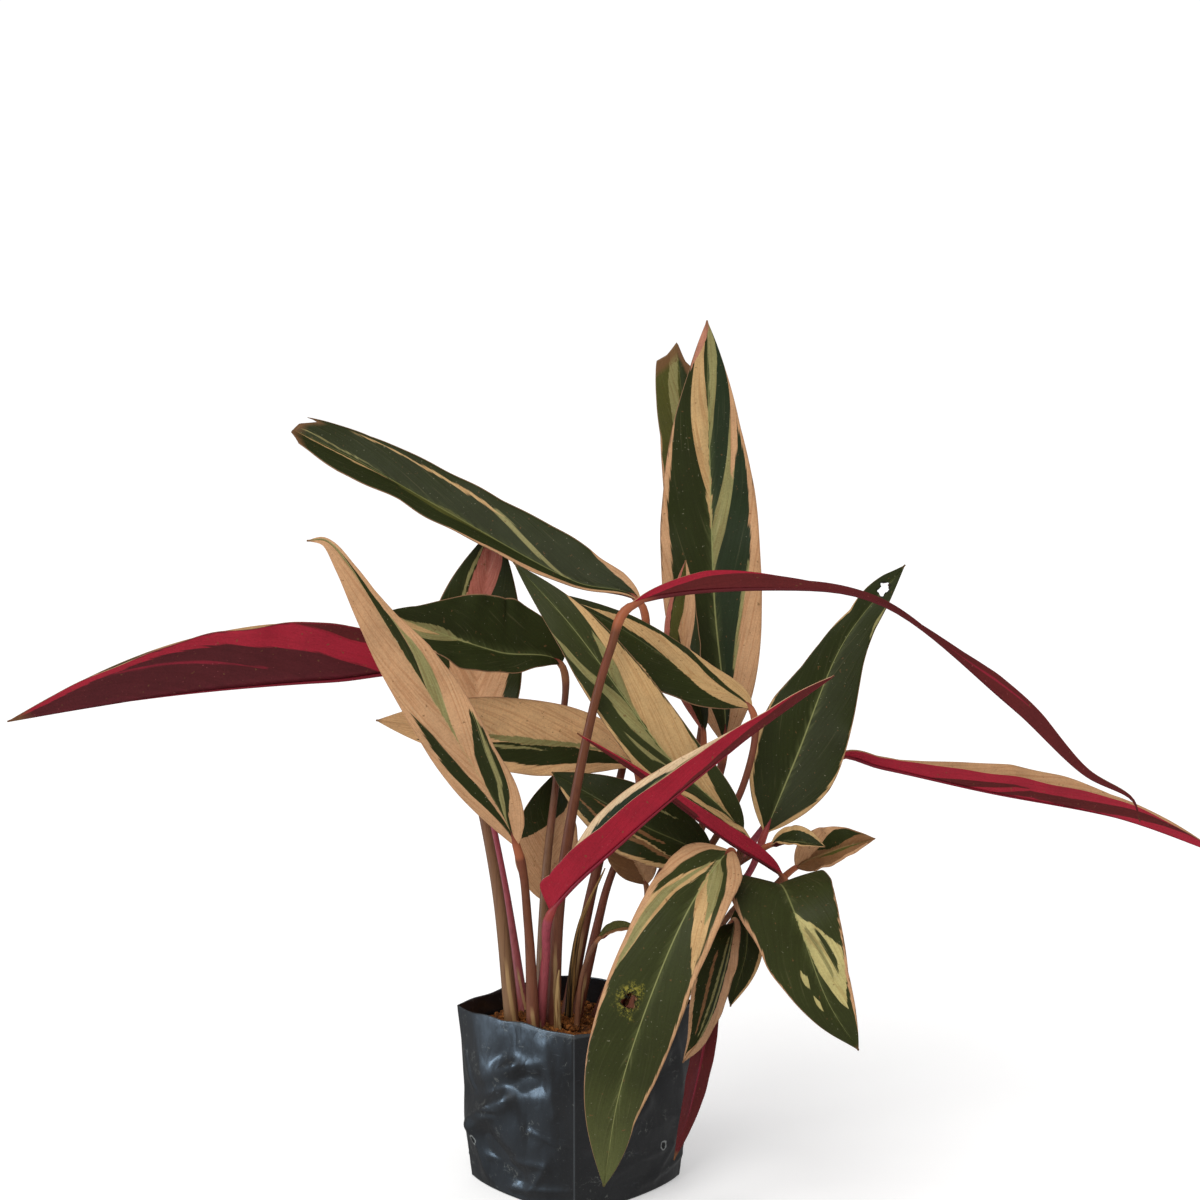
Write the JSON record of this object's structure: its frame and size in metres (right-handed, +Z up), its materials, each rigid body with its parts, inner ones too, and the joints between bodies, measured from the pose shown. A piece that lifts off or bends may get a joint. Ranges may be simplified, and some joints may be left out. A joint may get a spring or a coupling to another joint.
{
  "type": "stromanthe plant",
  "caption": "Variegated stromanthe foliage plant, its long green, cream and crimson leaves on slender stalks, growing in a soil-filled polythene nursery grow bag.",
  "frame": {"origin": "middle of the grow bag's flat base, on the surface it stands on", "axes": "+Z up along the bag and the stalks; -Y towards the bag's front corner and the side it is seen from; +X to the right of that view, the way the longest leaves reach"},
  "size_m": [0.7185, 0.2535, 0.525],
  "materials": {
    "leaf_blade": "satin",
    "leaf_stalk": "satin",
    "dry_husk": "matte",
    "bag_film": "semi-gloss",
    "soil": "matte"
  },
  "bodies": {
    "root": {"tall_blade": "leaf_blade", "tall_stalk": "leaf_stalk", "torn_blade": "leaf_blade", "torn_stalk": "leaf_stalk", "long_left_blade": "leaf_blade", "long_left_stalk": "leaf_stalk", "peach_blade": "leaf_blade", "peach_stalk": "leaf_stalk", "crimson_left_blade": "leaf_blade", "crimson_left_stalk": "leaf_stalk", "arching_blade": "leaf_blade", "arching_stalk": "leaf_stalk", "folded_front_blade": "leaf_blade", "folded_front_stalk": "leaf_stalk", "centre_blade": "leaf_blade", "centre_stalk": "leaf_stalk", "centre_right_blade": "leaf_blade", "centre_right_stalk": "leaf_stalk", "broad_left_blade": "leaf_blade", "broad_left_stalk": "leaf_stalk", "upright_back_blade": "leaf_blade", "upright_back_stalk": "leaf_stalk", "cream_blade": "leaf_blade", "cream_stalk": "leaf_stalk", "broad_right_blade": "leaf_blade", "broad_right_stalk": "leaf_stalk", "hanging_front_blade": "leaf_blade", "hanging_front_stalk": "leaf_stalk", "hanging_right_blade": "leaf_blade", "hanging_right_stalk": "leaf_stalk", "narrow_folded_blade": "leaf_blade", "narrow_folded_stalk": "leaf_stalk", "hanging_peach_blade": "leaf_blade", "hanging_peach_stalk": "leaf_stalk", "hanging_dark_blade": "leaf_blade", "hanging_dark_stalk": "leaf_stalk", "hanging_red_blade": "leaf_blade", "hanging_red_stalk": "leaf_stalk", "small_right_blade": "leaf_blade", "small_right_stalk": "leaf_stalk", "side_right_blade": "leaf_blade", "side_right_stalk": "leaf_stalk", "narrow_upright_blade": "leaf_blade", "narrow_upright_stalk": "leaf_stalk", "striped_low_blade": "leaf_blade", "striped_low_stalk": "leaf_stalk", "low_brown_blade": "leaf_blade", "low_brown_stalk": "leaf_stalk", "low_back_blade": "leaf_blade", "low_back_stalk": "leaf_stalk", "long_right_blade": "leaf_blade", "long_right_stalk": "leaf_stalk", "youngest_blade": "leaf_blade", "youngest_stalk": "leaf_stalk", "furled_leaf": "leaf_stalk", "dry_sheath": "dry_husk", "pink_sheath": "leaf_stalk", "grow_bag": "bag_film", "potting_soil": "soil"}
  },
  "joints": []
}
